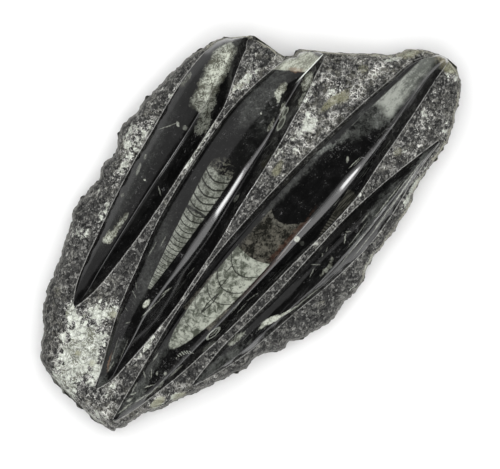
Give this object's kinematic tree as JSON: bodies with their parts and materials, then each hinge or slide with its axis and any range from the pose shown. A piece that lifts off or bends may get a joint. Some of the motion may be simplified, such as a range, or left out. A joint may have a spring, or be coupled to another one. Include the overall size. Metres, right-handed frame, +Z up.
{
  "type": "orthoceras fossil plate",
  "caption": "Slab of black fossil limestone with polished blade-shaped ridges in relief on rough chiselled ground, showing chambered orthocone shells in section.",
  "frame": {"origin": "under the middle of the slab, on the surface it lies on", "axes": "+X along the blades, from the slab's narrow end to its broad end; +Y across the slab, towards the most outlying blade's side; +Z up, out of the polished side"},
  "size_m": [0.2788, 0.1582, 0.0376],
  "materials": {
    "limestone": "black fossil limestone, blades polished, ground and flanks chiselled"
  },
  "bodies": {
    "root": {"fossil_plate": "limestone"}
  },
  "joints": []
}
